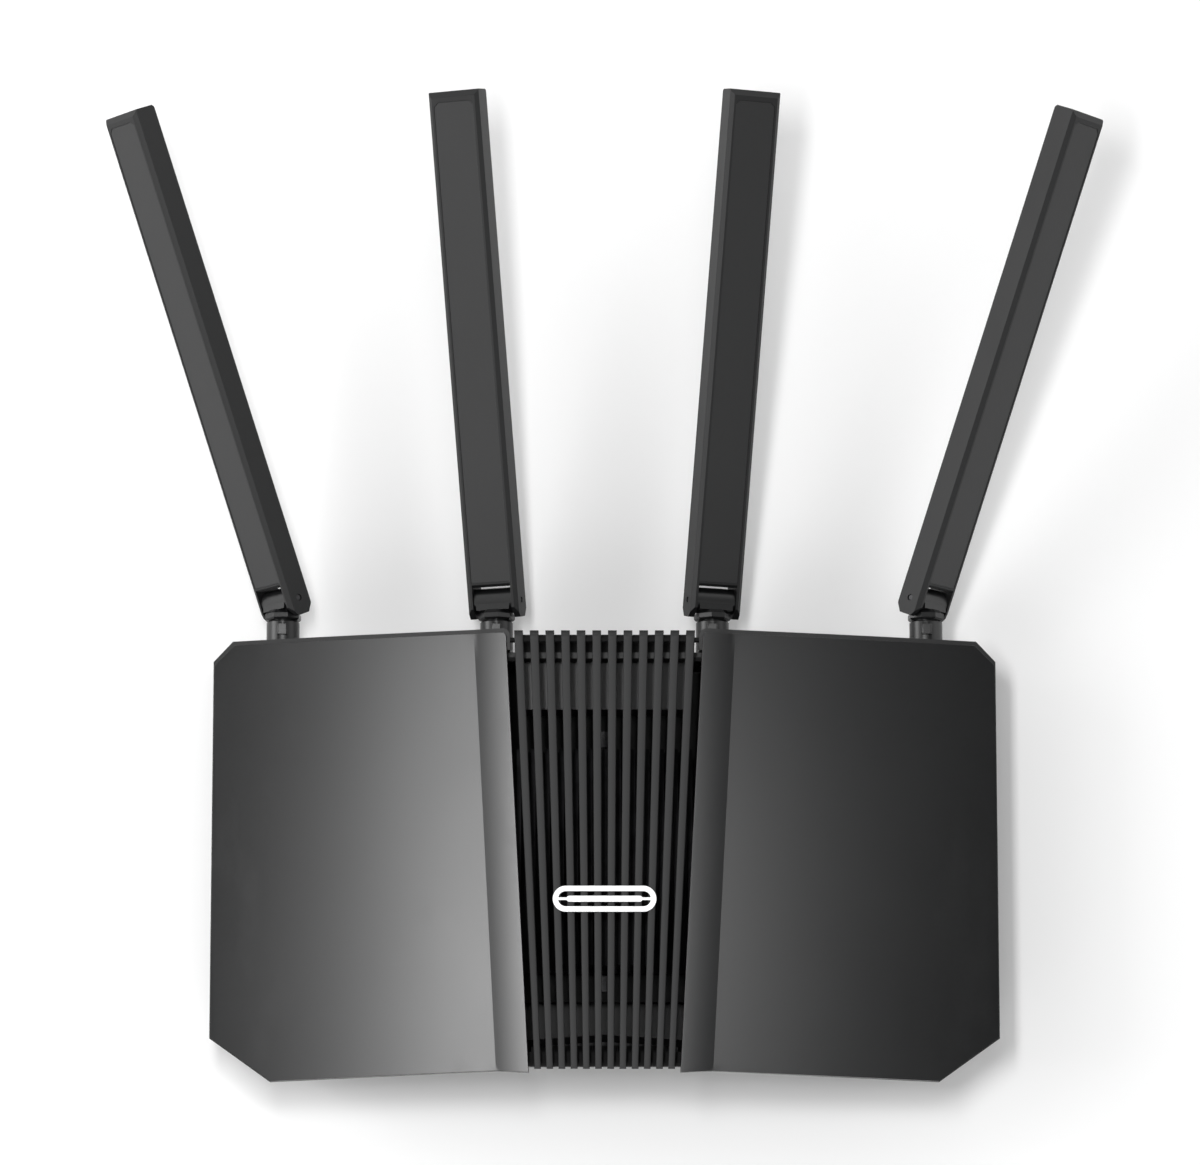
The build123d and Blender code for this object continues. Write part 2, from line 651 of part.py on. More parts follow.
with BuildPart() as light_guide:
    # six clear bars joined by a rail carry the light from the board to the front wall
    with BuildSketch(Plane.XY.offset(LIGHT_Z - 0.8)):
        with Locations(*[(x, -51.6) for x in LIGHT_ROW]):
            Rectangle(3.0, 19.4)
        with Locations((sum(LIGHT_ROW) / len(LIGHT_ROW), -47)):
            Rectangle(44, 2.4)
    extrude(amount=1.5)
    add(OUTER_TUB, mode=Mode.INTERSECT)
save(light_guide, "light_guide")

with BuildPart() as antenna_leads:
    # a thin coaxial lead runs from the board to each collar, straight inside the rear wall
    for x, aside in LEADS:
        start = (x + aside, 30, BOARD_TOP + LEAD_PLUG_HEIGHT + LEAD_RADIUS)
        corner = (x + aside / 2, 50, BOARD_TOP + 8)
        bend = (x, 58, PIVOT_Z)
        with BuildLine() as route:
            FilletPolyline(start, corner, bend, (x, 65.5, PIVOT_Z), radius=3)
        with BuildSketch(Plane(origin=route.line @ 0, z_dir=route.line % 0)):
            Circle(LEAD_RADIUS)
        sweep(path=route.line)
save(antenna_leads, "antenna_leads")

with BuildPart() as lead_plugs:
    with BuildSketch(Plane.XY.offset(BOARD_TOP)):
        with Locations(*[(x + aside, 30.5) for x, aside in LEADS]):
            Circle(1.6)
    extrude(amount=LEAD_PLUG_HEIGHT)
save(lead_plugs, "lead_plugs")

# ================================================================ feet and screws
with BuildPart() as rubber_feet:
    with BuildSketch():
        with Locations(*FEET):
            Circle(FOOT_RADIUS - 0.1)
    extrude(amount=LOW_Z + 0.6)
    chamfer(faces().filter_by(Axis.Z).group_by(Axis.Z)[0].edges(), length=0.5)
save(rubber_feet, "rubber_feet")


def screws(places, head_z, head_radius, shank_radius, length, up, name):
    """Identical pan-head screws in one node; up is the way the shank points."""
    with BuildPart() as group:
        with BuildSketch(Plane.XY.offset(head_z)):
            with Locations(*places):
                Circle(head_radius)
                RectangleRounded(head_radius * 1.1, 0.6, 0.1, mode=Mode.SUBTRACT)
                RectangleRounded(0.6, head_radius * 1.1, 0.1, mode=Mode.SUBTRACT)
        extrude(amount=-0.7 * up)
        with BuildSketch(Plane.XY.offset(head_z)):
            with Locations(*places):
                Circle(head_radius)
        extrude(amount=0.7 * up)
        with BuildSketch(Plane.XY.offset(head_z)):
            with Locations(*places):
                Circle(shank_radius)
        extrude(amount=length * up)
    save(group, name)
    return group


screws(CASE_SCREWS, LOW_Z + 1.4, 3.0, 1.3, 13.0, 1, "case_screws")
screws(BOARD_SCREWS, BOARD_TOP + 0.75, 2.7, 1.2, 5.2, -1, "board_screws")


# ================================================================ antennas
def turned(seat, swivel, tilt):
    """The blade's plane at a seat: X along the hinge pin, Y along the blade, Z out of its face."""
    s, t = radians(swivel), radians(tilt)
    pin = Vector(cos(s), 0, -sin(s))
    face = Vector(sin(s) * cos(t), -sin(t), cos(s) * cos(t))
    return Plane(origin=seat, x_dir=pin, z_dir=face)


def end_on(plane, along):
    """A plane square to a blade's length: X across its width, Y out of its face."""
    return Plane(
        origin=plane.origin + plane.y_dir * along, x_dir=plane.x_dir, z_dir=plane.y_dir * -1
    )


def side_on(plane, out):
    """A plane square to the hinge pin: X along the blade, Y out of its face."""
    return Plane(origin=plane.origin + plane.x_dir * out, x_dir=plane.y_dir, z_dir=plane.x_dir)


BLADE_SIDE = [
    (-HEEL_BEVEL[0], -BLADE_THICK / 2),
    (BLADE_REACH - BLADE_EDGE, -BLADE_THICK / 2),
    (BLADE_REACH, -BLADE_THICK / 2 + BLADE_EDGE),
    (BLADE_REACH, BLADE_THICK / 2 - TIP_BEVEL[1]),
    (BLADE_REACH - TIP_BEVEL[0], BLADE_THICK / 2),
    (-HEEL_BEVEL[0], BLADE_THICK / 2),
    (-BLADE_HEEL, BLADE_THICK / 2 - HEEL_BEVEL[1]),
    (-BLADE_HEEL, HEEL_BEVEL[1] - BLADE_THICK / 2),
]


def antenna(name, x, swivel, tilt):
    """One antenna: collar, swivel, hinge pin, blade shell, face plate and radiating element."""
    seat = Vector(x, PIVOT_Y, PIVOT_Z)
    blade_plane = turned(seat, swivel, tilt)
    swivel_plane = turned(seat, swivel, 0)
    block_low, block_high = BLOCK_FROM_PIVOT
    collar_length = PIVOT_Y - block_high - COLLAR_GAP - (REAR_WALL_Y - WALL)

    with BuildPart() as collar:
        with BuildSketch(Plane(origin=(x, REAR_WALL_Y - WALL, PIVOT_Z), z_dir=(0, 1, 0))):
            Circle(COLLAR_RADIUS)
        extrude(amount=collar_length)
        chamfer(faces().sort_by(Axis.Y)[-1].edges(), length=0.4)
        # the root flares against the wall, and a lug on one side stops the swivel
        with BuildSketch(Plane(origin=(x, REAR_WALL_Y, PIVOT_Z), z_dir=(0, 1, 0))):
            Circle(COLLAR_RADIUS + COLLAR_FLARE)
        extrude(amount=2.4, taper=26)
        with BuildSketch(Plane(origin=(x, PIVOT_Y - block_high - 5.4, PIVOT_Z), z_dir=(0, 1, 0))):
            with Locations((COLLAR_RADIUS + 0.1, 0)):
                RectangleRounded(2.4, 3.4, 0.5)
        extrude(amount=3.4)
        with BuildSketch(Plane(origin=(x, REAR_WALL_Y - WALL, PIVOT_Z), z_dir=(0, 1, 0))):
            Circle(SPIGOT_RADIUS + RUNNING_GAP)
        extrude(amount=30, mode=Mode.SUBTRACT)
    save(collar, f"{name}_collar")

    with BuildPart() as joint:
        with BuildSketch(end_on(swivel_plane, -block_low)):
            RegularPolygon(BLOCK_RADIUS, 8, rotation=22.5)
        extrude(amount=block_high - block_low)
        chamfer(faces().sort_by(Axis.Y)[-1].edges(), length=BLOCK_BEVEL[0])
        chamfer(faces().sort_by(Axis.Y)[0].edges(), length=BLOCK_BEVEL[1])
        with BuildSketch(side_on(swivel_plane, -BARREL_LENGTH / 2)):
            Circle(BARREL_RADIUS)
        extrude(amount=BARREL_LENGTH)
        with BuildSketch(end_on(swivel_plane, 0)):
            Rectangle(BARREL_LENGTH - 1.6, 2 * BARREL_RADIUS - 0.6)
        extrude(amount=block_low + 0.2)
        with BuildSketch(end_on(swivel_plane, -block_high)):
            Circle(SPIGOT_RADIUS)
        extrude(amount=collar_length + COLLAR_GAP + 0.4)
        with BuildSketch(end_on(swivel_plane, -(PIVOT_Y - REAR_WALL_Y + WALL + 0.4))):
            Circle(SPIGOT_RADIUS + 0.9)
        extrude(amount=1.0)
        with BuildSketch(end_on(swivel_plane, -block_low)):
            Circle(SPIGOT_BORE)
        extrude(amount=30, mode=Mode.SUBTRACT)
        with BuildSketch(side_on(swivel_plane, -BARREL_LENGTH / 2)):
            Circle(PIN_RADIUS + RUNNING_GAP)
        extrude(amount=BARREL_LENGTH, mode=Mode.SUBTRACT)
    save(joint, f"{name}_swivel")

    with BuildPart() as pin:
        with BuildSketch(side_on(blade_plane, -BLADE_WIDTH / 2 + 0.4)):
            Circle(PIN_RADIUS)
        extrude(amount=BLADE_WIDTH - 0.8)
        chamfer(edges().filter_by(GeomType.CIRCLE), length=0.2)
    save(pin, f"{name}_hinge_pin")

    half_width = BLADE_WIDTH / 2
    half_thick = BLADE_THICK / 2
    with BuildPart() as blade:
        with BuildSketch(side_on(blade_plane, -half_width)):
            with BuildLine():
                Polyline(*BLADE_SIDE, close=True)
            make_face()
        extrude(amount=BLADE_WIDTH)
        # the long front edges are chamfered over the whole length
        with BuildSketch(end_on(blade_plane, BLADE_REACH + 1)):
            for side in (-1, 1):
                with BuildLine():
                    Polyline(
                        (side * (half_width + 1), half_thick + 1),
                        (side * (half_width - BLADE_EDGE - 1), half_thick + 1),
                        (side * (half_width + 1), half_thick - BLADE_EDGE - 1),
                        close=True,
                    )
                make_face()
                with BuildLine():
                    Polyline(
                        (side * (half_width + 1), -half_thick - 1),
                        (side * (half_width - 0.6 - 1), -half_thick - 1),
                        (side * (half_width + 1), -half_thick + 0.6 + 1),
                        close=True,
                    )
                make_face()
        extrude(amount=BLADE_REACH + BLADE_HEEL + 2, mode=Mode.SUBTRACT)
        # the fork takes the barrel
        with BuildSketch(blade_plane.offset(-half_thick - 1)):
            with Locations((0, (FORK_DEPTH - BLADE_HEEL - 2) / 2)):
                Rectangle(FORK_WIDTH, FORK_DEPTH + BLADE_HEEL + 2)
        extrude(amount=BLADE_THICK + 2, mode=Mode.SUBTRACT)
        with BuildSketch(side_on(blade_plane, -FORK_WIDTH / 2)):
            with BuildLine():
                Polyline(
                    (FORK_DEPTH - 1, half_thick + 1),
                    (FORK_DEPTH - 1, half_thick - FORK_EASE - 1),
                    (FORK_DEPTH + FORK_EASE + 1, half_thick + 1),
                    close=True,
                )
            make_face()
        extrude(amount=FORK_WIDTH, mode=Mode.SUBTRACT)
        with BuildSketch(side_on(blade_plane, -half_width - 1)):
            Circle(PIN_RADIUS)
        extrude(amount=BLADE_WIDTH + 2, mode=Mode.SUBTRACT)
        # the seat of the face plate and the hollow behind it
        face_low = FORK_DEPTH + BLADE_WALL
        face_high = BLADE_REACH - FACE_MARGIN - 1.6
        face_width = BLADE_WIDTH - 2 * FACE_MARGIN
        with BuildSketch(blade_plane.offset(half_thick - FACE_INSET - FACE_THICK)):
            with Locations((0, (face_low + face_high) / 2)):
                Rectangle(face_width, face_high - face_low)
            chamfer(vertices().group_by(Axis.Y)[-1], length=1.5)
        extrude(amount=FACE_INSET + FACE_THICK + 1, mode=Mode.SUBTRACT)
        with BuildSketch(blade_plane.offset(half_thick - FACE_INSET - FACE_THICK)):
            with Locations((0, (face_low + face_high) / 2)):
                RectangleRounded(face_width - 2.4, face_high - face_low - 3, 1.5)
        extrude(amount=-(BLADE_THICK - FACE_INSET - FACE_THICK - BLADE_WALL), mode=Mode.SUBTRACT)
    save(blade, f"{name}_blade")

    with BuildPart() as plate:
        with BuildSketch(blade_plane.offset(half_thick - FACE_INSET)):
            with Locations((0, (face_low + face_high) / 2)):
                Rectangle(face_width, face_high - face_low)
            chamfer(vertices().group_by(Axis.Y)[-1], length=1.5)
        extrude(amount=-FACE_THICK)
    save(plate, f"{name}_face_plate")

    with BuildPart() as radiator:
        with BuildSketch(blade_plane.offset(1 + BLADE_WALL - half_thick)):
            with Locations((0, 78)):
                Rectangle(8, 118)
        extrude(amount=0.8)
        with BuildSketch(blade_plane.offset(BLADE_WALL - half_thick)):
            with Locations((0, 30), (0, 120)):
                Circle(1.5)
        extrude(amount=1.0)
    save(radiator, f"{name}_radiator")


for name, x, pose in (
    ("outer_left", -OUTER_X, OUTER_POSE),
    ("inner_left", -INNER_X, INNER_POSE),
    ("inner_right", INNER_X, INNER_POSE),
    ("outer_right", OUTER_X, OUTER_POSE),
):
    outward = -1 if x < 0 else 1
    antenna(name, x, outward * pose[1], pose[0])
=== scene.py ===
"""Looks of a four-antenna wireless router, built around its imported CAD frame.

Every length is in metres, in the frame's axes: +Z up, the front faces -Y.
"""

import json
import math
from contextlib import contextmanager

import bmesh
import bpy
from bpy.props import FloatProperty, FloatVectorProperty, PointerProperty
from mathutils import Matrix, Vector

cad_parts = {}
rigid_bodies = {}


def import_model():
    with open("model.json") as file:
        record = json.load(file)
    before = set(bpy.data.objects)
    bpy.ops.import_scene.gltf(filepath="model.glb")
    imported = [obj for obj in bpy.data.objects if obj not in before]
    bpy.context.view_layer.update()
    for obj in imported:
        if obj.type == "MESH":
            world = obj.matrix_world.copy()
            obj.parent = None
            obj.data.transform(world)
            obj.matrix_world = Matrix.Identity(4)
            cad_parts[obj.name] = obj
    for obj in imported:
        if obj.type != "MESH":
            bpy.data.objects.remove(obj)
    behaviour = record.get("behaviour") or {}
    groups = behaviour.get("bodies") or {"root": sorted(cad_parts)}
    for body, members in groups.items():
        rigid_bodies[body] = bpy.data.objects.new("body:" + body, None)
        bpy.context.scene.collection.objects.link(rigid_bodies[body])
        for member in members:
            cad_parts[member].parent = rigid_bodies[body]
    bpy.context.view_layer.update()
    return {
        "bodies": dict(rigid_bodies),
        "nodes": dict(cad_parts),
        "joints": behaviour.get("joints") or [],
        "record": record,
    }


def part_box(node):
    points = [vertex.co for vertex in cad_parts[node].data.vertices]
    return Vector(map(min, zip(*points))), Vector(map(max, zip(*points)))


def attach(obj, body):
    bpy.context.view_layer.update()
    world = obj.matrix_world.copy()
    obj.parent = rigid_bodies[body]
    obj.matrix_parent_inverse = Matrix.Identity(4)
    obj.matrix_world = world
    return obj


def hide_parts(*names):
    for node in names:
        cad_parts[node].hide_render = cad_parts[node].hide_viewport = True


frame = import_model()

bl_info = {
    "name": "Wireless router",
    "version": (1, 0, 0),
    "blender": (4, 5, 0),
    "location": "3D View > Sidebar > Router",
    "description": "Builds a four-antenna router and the stage it stands on",
    "category": "Add Mesh",
}

MM = 0.001
FINISH = "_finish"  # ends the name of every material made here
FINE = 1e-6  # metres; nearer points count as one
FLAT_ANGLE = math.radians(0.4)  # faces that meet within this are one flat face
BEVEL_ANGLE = 30.0
COVER_BEVEL_ANGLE = 60.0
SMOOTH_ANGLE = 32.0
GRILLE_SMOOTH_ANGLE = 50.0  # takes in the chamfers along the ribs
SLOT_SHADE_DEPTH = 35.4 * MM  # height in the grille below which its faces count as inside the slots; there they are rougher and carry painted shade
SLOT_SCALE = 20.0  # brings heights in metres to the span of a colour ramp

# ---------------------------------------------------------------- body
COVER_FRONT = 72.6 * MM  # middle of the body to the covers' front corners
BODY_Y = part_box("left_cover")[0].y + COVER_FRONT  # middle of the body in the frame
HALF_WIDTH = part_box("right_cover")[1].x
COVER_REAR = 72.6 * MM
FRONT_SWEEP = 2.7 * MM
REAR_SWEEP = 3.0 * MM
STRIP_SWEEP = 0.6 * MM  # the strip's front edge runs forward again by this much
FRONT_CORNER = (20.0 * MM, 14.6 * MM)
REAR_CORNER = 6.7 * MM
INNER_CORNER = 1.6 * MM
COVER_THICK = 2.2 * MM
POST_PLACES = [(112 * MM, -27 * MM), (112 * MM, 39 * MM)]
POST_RADIUS = 3.6 * MM
POST_BORE = 1.3 * MM
POST_FOOT = 6.1 * MM
POST_HOLE_TOP = 18 * MM
POST_OVERLAP = 0.6 * MM  # how far a post reaches into its cover

# ---------------------------------------------------------------- roof
CHANNEL_HALF = 28.6 * MM
CHANNEL_FLARE = 0.0535
SHOULDER_WIDTH = 10.6 * MM
SHOULDER_RISE = 1.15 * MM
SHOULDER_CROWN = 0.12 * MM
CREASE_X = 39.2 * MM
CREASE_Z = 36.6 * MM
PANEL_SLOPE = math.tan(math.radians(3.0))
PANEL_CURVE = 0.46  # per metre
STRIP_COLUMNS = 8
PANEL_COLUMNS = 30
COVER_ROWS = 12
PANEL_REACH = 112 * MM  # past the side edge, before it is cut
GRID_MARGIN = 8 * MM  # the grid's length past each end, before it is cut
CREASE_CATCH = 0.01 * MM  # how near the crease line its vertices lie
SEAM_MERGE = 0.005 * MM
CORNER_CATCH = 0.2 * MM

# ---------------------------------------------------------------- antennas
ANTENNAS = ("outer_left", "inner_left", "inner_right", "outer_right")
FORK_DEPTH = 5.0 * MM
NUB_RADIUS = 0.55 * MM
NUB_OUT = 2.1 * MM  # from the hinge's axis towards the blade's face

# ---------------------------------------------------------------- stage
AIM = Vector((-1.5, 4.0, 20.0)) * MM
CAMERA_DISTANCE = 2.1
CAMERA_ELEVATION = math.radians(79)
LENS = 188.7  # millimetres
SENSOR = 36.0  # millimetres
FLOOR_SIZE = 12.0
KEY_PLACE = (-0.15, -0.025, 1.0)
KEY_SIZE = (0.111, 0.415)
FILL_PLACE = (0.025, 0.014, 1.0)
FILL_SIZE = (0.339, 0.147)
SIDE_PLACE = (-1.6, 0.1, 0.7)
SIDE_SIZE = (1.2, 0.8)
SIDE_TARGET = (0, 0, 0.03)
HORIZON_TOP = 0.62  # sine of the elevation below which the studio is bright
DARK_FROM = 0.80  # and of the elevation above which it is dark


# ================================================================ materials
class Wire:
    """A value on its way through a material, so that shader maths reads as Python."""

    def __init__(self, finish, socket):
        self.finish, self.socket = finish, socket

    def _math(self, operation, first, second):
        return self.finish.node("ShaderNodeMath", {"operation": operation}, {0: first, 1: second})

    def __add__(self, other):
        return self._math("ADD", self, other)

    def __radd__(self, other):
        return self._math("ADD", other, self)

    def __sub__(self, other):
        return self._math("SUBTRACT", self, other)

    def __rsub__(self, other):
        return self._math("SUBTRACT", other, self)

    def __mul__(self, other):
        return self._math("MULTIPLY", self, other)

    def __rmul__(self, other):
        return self._math("MULTIPLY", other, self)


class Finish:
    """A material's node tree, round one Principled shader."""

    def __init__(self, name, **values):
        self.material = bpy.data.materials.new(name + FINISH)
        self.material.use_nodes = True
        self.tree = self.material.node_tree
        self.shader = self.tree.nodes["Principled BSDF"]
        self.put(self.shader, values)

    def put(self, node, values):
        """Gives sockets their values or links; a key is a socket's name or number."""
        for key, value in values.items():
            socket = node.inputs[key]
            if isinstance(value, Wire):
                self.tree.links.new(value.socket, socket)
            else:
                socket.default_value = value

    def node(self, kind, settings=None, values=None, output=0):
        """A node of this kind, with its settings and then its sockets, as a Wire."""
        new = self.tree.nodes.new(kind)
        for key, value in (settings or {}).items():
            if key == "stops":
                for element, (place, level) in zip(new.color_ramp.elements, value):
                    element.position = place
                    element.color = (level, level, level, 1)
            else:
                setattr(new, key, value)
        self.put(new, values or {})
        return Wire(self, new.outputs[output])

    def place(self):
        return self.node("ShaderNodeTexCoord", output=3)

    def noise(self, scale, detail=3.0, roughness=0.55, stretch=None):
        """Noise from 0 to 1, with scale in waves per metre."""
        at = self.place()
        if stretch:
            at = self.node("ShaderNodeMapping", None, {0: at, 3: stretch})
        values = {0: at, "Scale": scale, "Detail": detail, "Roughness": roughness}
        return self.node("ShaderNodeTexNoise", None, values)

    def spread(self, signal, low, high):
        """The signal stretched so that low becomes 0 and high becomes 1."""
        settings = {"stops": ((low, 0.0), (high, 1.0))}
        return self.node("ShaderNodeValToRGB", settings, {0: signal})

    def blend(self, share, first, second):
        """A colour between two, by share."""
        settings = {"data_type": "RGBA"}
        return self.node("ShaderNodeMix", settings, {0: share, 6: (*first, 1), 7: (*second, 1)}, 2)

    def bump(self, height, depth):
        """Relief of this depth in metres, on the shader's normal."""
        normal = self.node("ShaderNodeBump", None, {"Distance": depth, "Height": height})
        self.put(self.shader, {"Normal": normal})


def shade(colour, factor):
    return tuple(min(1.0, c * factor) for c in colour)


def moulded_plastic(name, colour, roughness, grain=2600.0, depth=0.03 * MM, sheen=0.5):
    """Injection-moulded plastic: fine spark-eroded grain, slow drift in gloss, faint handling marks."""
    finish = Finish(name, IOR=1.5)
    finish.shader.inputs["Specular IOR Level"].default_value = sheen
    drift = finish.noise(14.0, 4.0)
    speck = finish.noise(900.0, 2.0)
    marks = finish.spread(finish.noise(55.0, 6.0, 0.62, (1.0, 0.35, 1.0)), 0.56, 0.78)
    tone = finish.spread(drift * 0.6 + speck * 0.4, 0.38, 0.62)
    colours = finish.blend(tone, shade(colour, 0.86), shade(colour, 1.14))
    gloss = roughness - 0.035 + drift * 0.05 + speck * 0.03 + marks * 0.035
    finish.put(finish.shader, {"Base Color": colours, "Roughness": gloss})
    fine = finish.noise(grain, 2.0, 0.5)
    coarse = finish.noise(grain * 0.36, 2.0, 0.5)
    finish.bump(fine * 0.6 + coarse * 0.4, depth)
    return finish.material


def grille_plastic(name, colour, roughness):
    """Fine-grained plastic whose faces down inside the slots are coarser than the ribs' tops and carry
    painted shade: a darker colour that stands in for the shadow in the slots.
    """
    finish = Finish(name, IOR=1.5)
    speck = finish.noise(1100.0, 3.0)
    height = finish.node("ShaderNodeSeparateXYZ", None, {0: finish.place()}, 2)
    top = finish.spread(height * SLOT_SCALE, SLOT_SHADE_DEPTH * SLOT_SCALE, (SLOT_SHADE_DEPTH + 1.2 * MM) * SLOT_SCALE)
    finish.put(finish.shader, {
        # painted shade: below the slot depth the colour falls to 0.3 of the plastic's, standing in for the
        # shadow down in the slots; the rougher finish there is real
        "Base Color": finish.blend(top, shade(colour, 0.3), colour),
        "Roughness": 0.9 - top * (0.9 - roughness) + speck * 0.03,
    })
    fine = finish.noise(2400.0, 2.0, 0.5)
    finish.bump(fine * 0.6 + speck * 0.4, 0.012 * MM)
    return finish.material


def rubber(name, colour):
    finish = Finish(name, IOR=1.52)
    tone = finish.spread(finish.noise(420.0, 4.0), 0.35, 0.7)
    finish.put(finish.shader, {
        "Base Color": finish.blend(tone, shade(colour, 0.8), shade(colour, 1.35)),
        "Roughness": 0.72 + tone * 0.16,
    })
    finish.bump(finish.noise(1900.0, 3.0), 0.05 * MM)
    return finish.material


def metal(name, colour, roughness, grain=(1.0, 14.0, 1.0), tarnish=0.75):
    """Drawn or plated metal with a lay along one axis and a little tarnish."""
    finish = Finish(name, Metallic=1.0)
    lay = finish.noise(700.0, 3.0, 0.6, grain)
    stain = finish.spread(finish.noise(130.0, 5.0), 0.45, 0.72)
    finish.put(finish.shader, {
        "Base Color": finish.blend(stain, colour, shade(colour, tarnish)),
        "Roughness": roughness + lay * 0.12 + stain * 0.1,
    })
    finish.bump(lay, 0.01 * MM)
    return finish.material


def glazed(name, colour, roughness, coat=0.4):
    """A smooth coloured skin with a clear coat, such as paint or solder resist."""
    finish = Finish(name, IOR=1.5)
    finish.shader.inputs["Coat Weight"].default_value = coat
    finish.shader.inputs["Coat Roughness"].default_value = 0.18
    tone = finish.spread(finish.noise(160.0, 5.0), 0.36, 0.66)
    finish.put(finish.shader, {
        "Base Color": finish.blend(tone, shade(colour, 0.9), shade(colour, 1.08)),
        "Roughness": roughness + tone * 0.08,
    })
    finish.bump(finish.noise(1300.0, 2.0), 0.012 * MM)
    return finish.material


def clear_plastic(name):
    finish = Finish(name, IOR=1.49)
    finish.shader.inputs["Transmission Weight"].default_value = 0.7
    haze = finish.spread(finish.noise(240.0, 4.0), 0.3, 0.7)
    finish.put(finish.shader, {
        "Base Color": finish.blend(haze, (0.78, 0.82, 0.83), (0.9, 0.92, 0.92)),
        "Roughness": 0.22 + haze * 0.2,
    })
    finish.bump(finish.noise(1500.0, 2.0), 0.01 * MM)
    return finish.material


def make_finishes(looks):
    """Every material of the router, by the record's slot names."""
    dark = tuple(looks.plastic_colour)
    gloss = looks.plastic_roughness
    return {
        "cover_plastic": moulded_plastic("cover_plastic", dark, gloss, depth=0.004 * MM),
        "housing_plastic": moulded_plastic("housing_plastic", shade(dark, 0.9), 0.52, 1500.0, 0.06 * MM),
        "grille_plastic": grille_plastic("grille_plastic", shade(dark, 1.05), 0.6),
        "hinge_plastic": moulded_plastic("hinge_plastic", shade(dark, 0.9), 0.34, depth=0.015 * MM),
        "blade_plastic": moulded_plastic("blade_plastic", dark, 0.5, 2200.0, 0.03 * MM, 0.35),
        "blade_face_plastic": moulded_plastic(
            "blade_face_plastic", shade(dark, 1.1), 0.46, 1800.0, 0.03 * MM
        ),
        "badge_white": glazed("badge_white", tuple(looks.badge_colour), 0.3),
        "board_laminate": glazed("board_laminate", (0.004, 0.0045, 0.0045), 0.8, 0.0),
        "chip_resin": moulded_plastic("chip_resin", (0.018, 0.018, 0.019), 0.5, 1500.0),
        "thermal_silicone": rubber("thermal_silicone", (0.34, 0.44, 0.6)),
        "black_aluminium": metal("black_aluminium", (0.018, 0.018, 0.019), 0.6),
        "shield_tinplate": metal("shield_tinplate", (0.62, 0.62, 0.6), 0.26),
        "socket_plastic": moulded_plastic("socket_plastic", (0.02, 0.02, 0.021), 0.38, 1900.0),
        "contact_metal": metal("contact_metal", (0.86, 0.66, 0.3), 0.22, tarnish=0.85),
        "clear_plastic": clear_plastic("clear_plastic"),
        "lead_jacket": rubber("lead_jacket", (0.03, 0.03, 0.032)),
        "foot_rubber": rubber("foot_rubber", (0.018, 0.018, 0.019)),
        "screw_steel": metal("screw_steel", (0.06, 0.06, 0.062), 0.42, (1.0, 1.0, 1.0)),
    }


# ================================================================ modelling helpers
def only(piece):
    """Makes piece the one selected and active object."""
    bpy.ops.object.select_all(action="DESELECT")
    piece.select_set(True)
    bpy.context.view_layer.objects.active = piece


@contextmanager
def editing(piece, mode="FACE"):
    """Edit mode on piece, with nothing selected, in vertex, edge or face mode."""
    only(piece)
    bpy.ops.object.mode_set(mode="EDIT")
    bpy.ops.mesh.select_mode(type=mode)
    bpy.ops.mesh.select_all(action="DESELECT")
    yield piece.data
    bpy.ops.object.mode_set(mode="OBJECT")


def pick(mesh, kind, test):
    """Selects the verts, edges or faces of the edited mesh that pass test; returns how many."""
    shape = bmesh.from_edit_mesh(mesh)
    for part in (shape.verts, shape.edges, shape.faces):
        for item in part:
            item.select = False
    chosen = [item for item in getattr(shape, kind) if test(item)]
    for item in chosen:
        item.select_set(True)
    if kind == "faces":
        shape.select_flush_mode()
    bmesh.update_edit_mesh(mesh)
    if not chosen:
        raise RuntimeError(f"nothing to select among the {kind} of {mesh.name}")
    return len(chosen)


def apply(piece, kind, **settings):
    """Adds a modifier with these settings and applies it."""
    only(piece)
    modifier = piece.modifiers.new(kind.title(), kind)
    for key, value in settings.items():
        setattr(modifier, key, value)
    bpy.ops.object.modifier_apply(modifier=modifier.name)


def soften(piece, width, segments=2, angle=BEVEL_ANGLE, smooth=SMOOTH_ANGLE):
    """Rounds the sharp edges by a small bevel and smooths the shading across it."""
    if width:
        apply(
            piece, "BEVEL", width=width, segments=segments, limit_method="ANGLE",
            angle_limit=math.radians(angle), use_clamp_overlap=True, miter_outer="MITER_ARC",
        )
    only(piece)
    bpy.ops.object.shade_smooth_by_angle(angle=math.radians(smooth), keep_sharp_edges=True)
    apply(piece, "WEIGHTED_NORMAL", keep_sharp=True, weight=80)


def settle(piece, name, slot, body, *stands_for):
    """Names a finished piece, gives it its material and ties it to the frame."""
    piece.name = name
    piece.data.name = name
    piece.data.materials.clear()
    piece.data.materials.append(bpy.data.materials[slot + FINISH])
    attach(piece, body)
    if stands_for:
        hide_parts(*stands_for)
    return piece


def merged_copy(node):
    """A CAD node's mesh as a new object, its triangles merged into whole faces."""
    mesh = frame["nodes"][node].data.copy()
    piece = bpy.data.objects.new(node + "_shell", mesh)
    bpy.context.scene.collection.objects.link(piece)
    with editing(piece):
        bpy.ops.mesh.customdata_custom_splitnormals_clear()
        bpy.ops.mesh.select_all(action="SELECT")
        bpy.ops.mesh.remove_doubles(threshold=FINE)
        bpy.ops.mesh.dissolve_limited(angle_limit=FLAT_ANGLE)
    return piece


def join(base, *others):
    """Joins other pieces into base."""
    only(base)
    for other in others:
        other.select_set(True)
    bpy.ops.object.join()
    return base


def body_of(node):
    return next(body for body, empty in frame["bodies"].items() if frame["nodes"][node].parent == empty)


# ================================================================ covers
def channel_edge(y):
    """Middle to the edge of the grille channel, at y from the body's middle."""
    return CHANNEL_HALF + CHANNEL_FLARE * y


